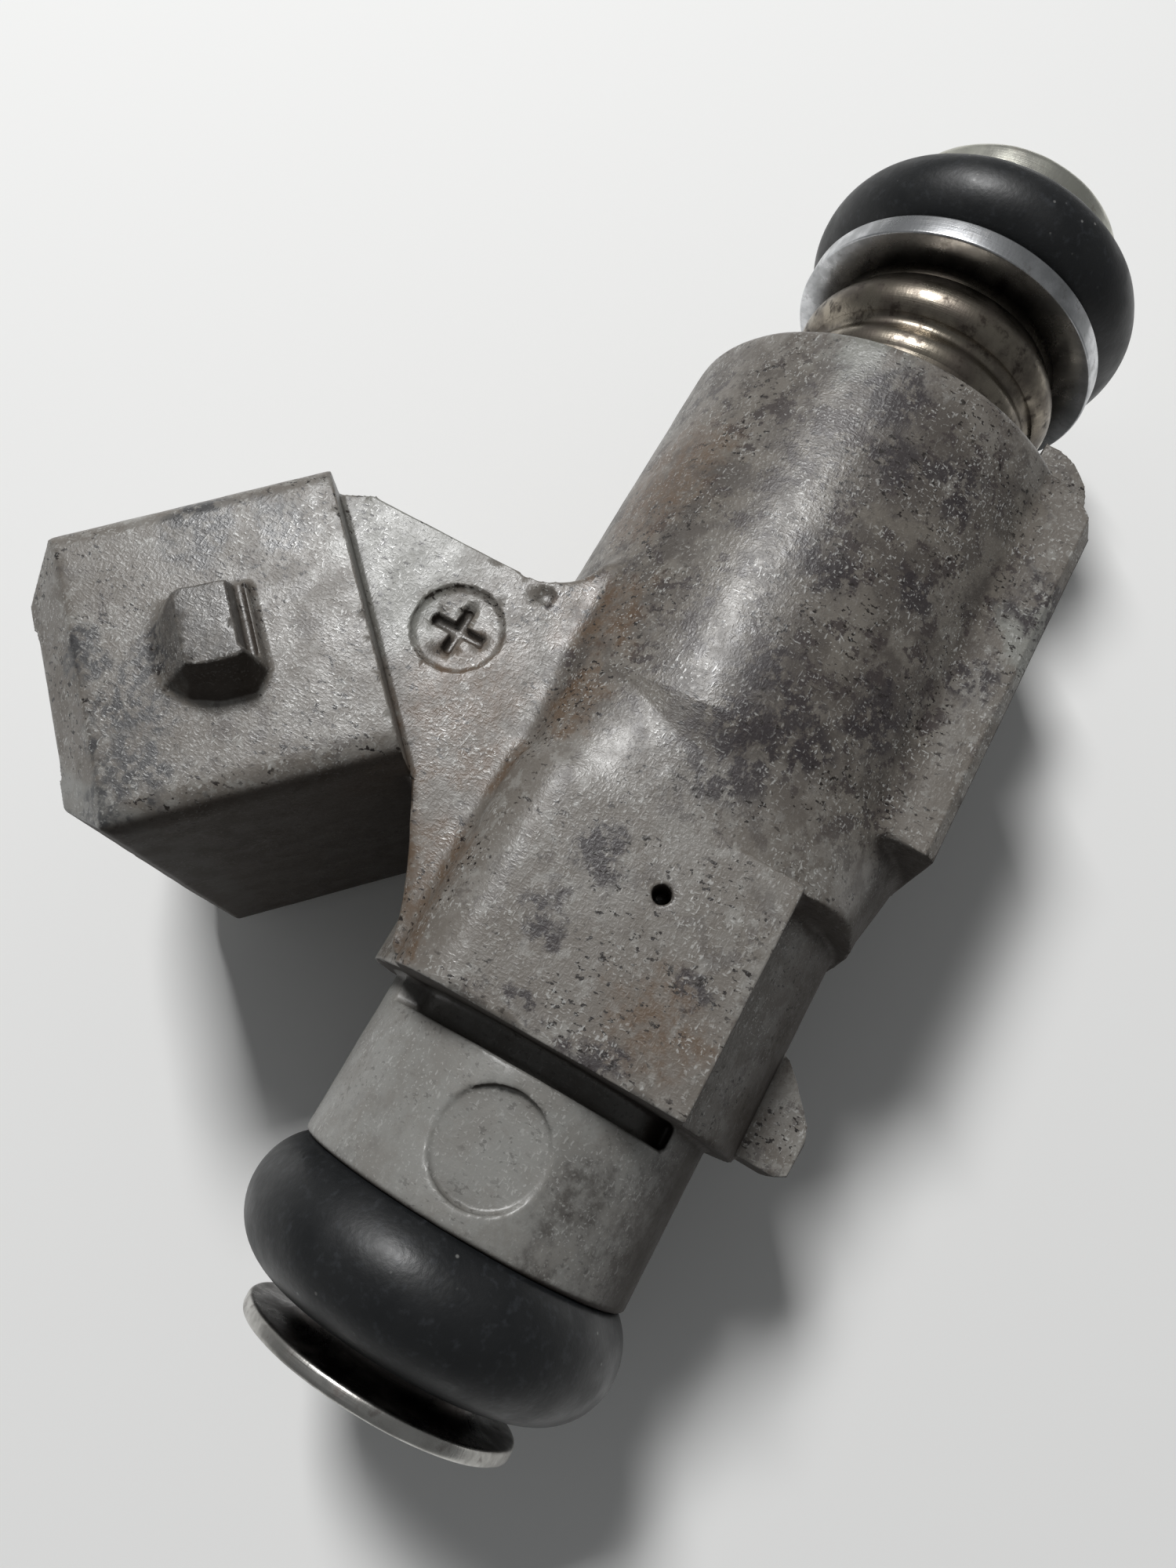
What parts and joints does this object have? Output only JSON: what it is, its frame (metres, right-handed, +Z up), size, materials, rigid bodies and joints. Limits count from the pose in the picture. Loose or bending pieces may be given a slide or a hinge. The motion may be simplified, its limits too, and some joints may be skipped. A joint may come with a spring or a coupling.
{
  "type": "fuel injector",
  "caption": "Port fuel injector: moulded body with a leaning plug socket, an O-ring at each end, and a coil that lifts a spring-closed needle off its seat.",
  "frame": {"origin": "on the fuel axis, at the middle of the inlet O-ring", "axes": "+X along the fuel axis from the inlet to the nozzle tip, +Y to the side the connector is on, +Z up out of the flat side as the injector lies on its back; the connector leans 45 degrees back towards the inlet in the XY plane"},
  "size_m": [0.0551, 0.0333, 0.02],
  "materials": {
    "moulded_body": "weathered glass-filled nylon, dull, stained brown and grey",
    "seal_rubber": "black rubber with a faint sheen",
    "inlet_steel": "dull steel with a polished rim",
    "nozzle_steel": "bronze-brown heat and fuel stained steel",
    "bright_steel": "bright turned steel",
    "cap_steel": "satin steel, lightly stained",
    "filter_plastic": "amber nylon",
    "filter_gauze": "fine steel gauze",
    "magnetic_steel": "satin soft-magnetic steel",
    "spacer_steel": "satin stainless steel",
    "hardened_steel": "ground and polished",
    "spring_steel": "drawn spring wire",
    "copper_winding": "enamelled copper wire",
    "bobbin_plastic": "black nylon",
    "tinned_terminal": "tinned brass"
  },
  "bodies": {
    "injector_body": {"overmould": "moulded_body", "inlet_tube": "inlet_steel", "inlet_filter_frame": "filter_plastic", "inlet_filter_mesh": "filter_gauze", "inlet_o_ring": "seal_rubber", "adjusting_sleeve": "magnetic_steel", "return_spring": "spring_steel", "spacer_ring": "spacer_steel", "flux_washer": "magnetic_steel", "coil_housing": "magnetic_steel", "coil_bobbin": "bobbin_plastic", "coil_winding": "copper_winding", "upper_coil_seal": "seal_rubber", "lower_coil_seal": "seal_rubber", "terminal_blade_front": "tinned_terminal", "terminal_blade_rear": "tinned_terminal", "nozzle_body": "nozzle_steel", "guide_disc": "hardened_steel", "valve_seat": "hardened_steel", "orifice_plate": "hardened_steel", "orifice_retainer": "hardened_steel", "nozzle_washer": "bright_steel", "nozzle_o_ring": "seal_rubber", "tip_cap": "cap_steel"},
    "needle_assembly": {"armature": "magnetic_steel", "needle_tube": "hardened_steel", "valve_ball": "hardened_steel"}
  },
  "joints": [
    {"name": "needle_lift", "type": "slide", "parent": "injector_body", "child": "needle_assembly", "axis": [-1, 0, 0], "range_m": [0, 0.0001], "stiffness_N_per_m": 4400, "springref_m": -0.00005, "deforming": ["return_spring"]}
  ]
}
